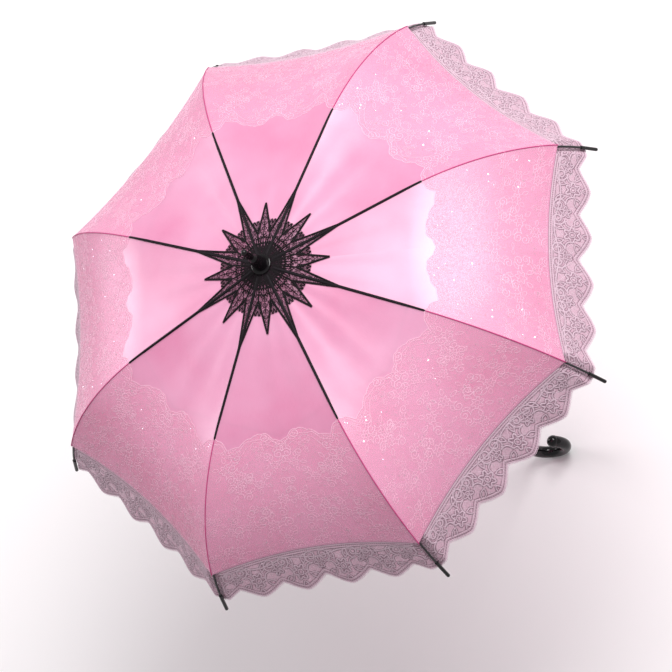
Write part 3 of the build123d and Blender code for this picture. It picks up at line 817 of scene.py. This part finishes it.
def star_centre():
    """The denser cloth round the ferrule."""
    q = np.linspace(0, 0.999, 25)
    u = np.linspace(0, 1, 14)[:, None]
    rim = run_at(34 + 3.0 * np.cos(5 * math.pi * q))
    return Half().shell(7 + u * (rim - 7), q + 0 * u, lift=0.7, thick=0.12)


def star_limit(x, y):
    """How far inside the star's outline a plan point is, along its own ray."""
    edge = star_side(0.0, 60)
    turn, reach = np.arctan2(edge[:, 1], edge[:, 0]), np.hypot(edge[:, 0], edge[:, 1])
    order = np.argsort(turn)
    return np.interp(np.arctan2(y, x), turn[order], reach[order]) - np.hypot(x, y)


def star_arc(radius, waves, depth, first=0.0, last=HALF_DEGREES):
    """A wavy arc round the stick, between two angles from the rib."""
    a = np.linspace(first, last, 60)
    rad = radius + depth * np.cos(waves * 2 * math.pi * a / HALF_DEGREES)
    return np.stack([rad * np.cos(HALF - np.radians(a)), rad * np.sin(HALF - np.radians(a))], -1)


def star_ribbon(star, plan, half, ridge=0.6):
    """A cord along a line of plan points."""
    s, q = from_plan(plan[:, 0], plan[:, 1])
    star.ribbon(s, np.minimum(q, LACE_Q), half, STAR_LIFT, ridge)


def add_spokes(star):
    """The outline, and cords that run out from the middle."""
    star_ribbon(star, star_side(0.0, 40), 1.45, ridge=0.8)
    spokes = ((16, 22.4, 70, 0.5), (14, VALLEY_DEGREES, 50, 1.1), (14, 6.5, 42, 0.6), (14, 16.0, 42, 0.6))
    for start, degrees, end, half in spokes:
        star_ribbon(star, straight(star_corner(start, degrees), star_corner(end, degrees), 30), half)


def add_rounds(star):
    """Wavy rounds about the middle, and the frill between the points with its bars."""
    for radius, waves, depth, half in ((24, 2, 0.0, 0.9), (34, 4, 1.8, 0.7), (43, 4, 2.2, 0.6)):
        star_ribbon(star, star_arc(radius, waves, depth), half)
    for radius, depth, half in ((58, 2.4, 0.55), (67, 3.0, 0.8)):
        star_ribbon(star, star_arc(radius, 5, depth, 6.6, 16.6), half)
    for degrees in np.arange(7.0, 16.5, 1.55):
        bar = straight(star_corner(50, degrees), star_corner(66, degrees + 0.5), 6)
        star_ribbon(star, bar, 0.3, ridge=0.3)


def add_rings(star):
    """Small rings along the points."""
    for reach, degrees in ((LONG, 1.3), (MIDDLE, 21.6)):
        for share in np.linspace(0.42, 0.84, 6):
            at = star_corner(reach * share, degrees)
            star_ribbon(star, np.stack(ring(*at, 1.2 + 3.0 * (1 - share), count=12), -1), 0.35)


def add_hatching(star):
    """Crossing threads inside the outline."""
    x = np.arange(16.0, 122.0, 1.5)
    for way in (-1, 1):
        for k in np.arange(-90, 150, 15.0):
            y = way * (x - k) * 0.75
            keep = (star_limit(x, y) > 1.5) & (y > 0) & (y < x * math.tan(HALF)) & (np.hypot(x, y) > 22)
            s, q = from_plan(x, y)
            star.cut_ribbon(s, q, keep, 0.3, STAR_LIFT, 0.2)


def star_threads():
    """All the star's cords."""
    star = Half()
    add_spokes(star)
    add_rounds(star)
    add_rings(star)
    add_hatching(star)
    return star


star_net = place("star_net", star_tulle(), materials["star_net"], "rib_inner", "rib_fold")
star_middle = place("star_middle", star_centre(), materials["star_middle"], "rib_inner", "rib_fold")
star = star_threads()
star_cords = place("star_cords", star, materials["star"], "rib_inner", "rib_fold", own_normals=False)

# ---- The frame's cloth pieces that the new cloth stands in for, hidden -----------------------------
for i in range(1, RIBS + 1):
    following = i % RIBS + 1  # rib i lies between gore i and this one
    for group in (satin_inner, satin_outer):
        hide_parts(f"canopy_panel_{i}", f"canopy_panel_{following}")
    for group in (tulle, lace_cords, lace_cord_shadows):
        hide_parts(f"lace_trim_{i}", f"lace_trim_{following}")
    for group in (star_net, star_cords, star_middle):
        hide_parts("lace_rosette")

# ---- Floor, light and camera -----------------------------------------------------------------------
FLOOR_HALF = 12.0  # metres


def make_floor():
    """A plain pale floor under the parasol's lowest point."""
    shader = Shader("floor", (0.93, 0.92, 0.925), 0.8)
    shader.bump(shader.noise(30.0, shader.coordinates(cloth_map=False)), 0.02)
    square = np.array([[-1, -1, 0], [1, -1, 0], [1, 1, 0], [-1, 1, 0]])
    corners = square * FLOOR_HALF + [0, 0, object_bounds()[0].z]
    mesh_object("floor", corners, [[0, 1, 2, 3]], shader.material)


def make_world():
    """Soft, nearly white light from everywhere."""
    world = bpy.data.worlds.new("studio")
    bpy.context.scene.world = world
    world.use_nodes = True
    background = world.node_tree.nodes["Background"]
    background.inputs["Color"].default_value = (1.0, 0.985, 0.99, 1)
    background.inputs["Strength"].default_value = 0.46


def make_camera():
    """A long lens that looks down on the open canopy, with the crook behind it on the right."""
    camera = bpy.data.objects.new("camera", bpy.data.cameras.new("camera"))
    bpy.context.scene.collection.objects.link(camera)
    camera.location = (2.5189, -2.0978, 5.9288)
    camera.rotation_mode = "QUATERNION"
    camera.rotation_quaternion = Quaternion((0.96066, 0.16364, 0.2198, -0.04527))
    camera.data.lens = 234.6
    camera.data.sensor_width = 36.0
    camera.data.clip_end = 60.0
    bpy.context.scene.camera = camera
    return camera


def area_light(name, towards, distance, width, power, color):
    """A square light in this direction from the crown, which it faces."""
    data = bpy.data.lights.new(name, "AREA")
    data.energy, data.size, data.color = power, width, color
    o = bpy.data.objects.new(name, data)
    bpy.context.scene.collection.objects.link(o)
    way = Vector(towards).normalized()
    o.location = Vector((0, 0, PIVOT_Z)) + way * distance
    o.rotation_mode = "QUATERNION"
    o.rotation_quaternion = (-way).to_track_quat("-Z", "Y")


make_floor()
make_world()
axes = make_camera().rotation_quaternion.to_matrix()
right, up, back = axes.col[0], axes.col[1], axes.col[2]
area_light("key", right * 0.04 + up * 0.66 + back * 0.74, 3.0, 2.0, 122, (1.0, 0.985, 0.985))
area_light("side", -right * 0.93 + up * 0.2 - back * 0.26, 2.8, 1.2, 26, (1.0, 0.93, 0.96))
bpy.context.scene.view_settings.view_transform = "Standard"
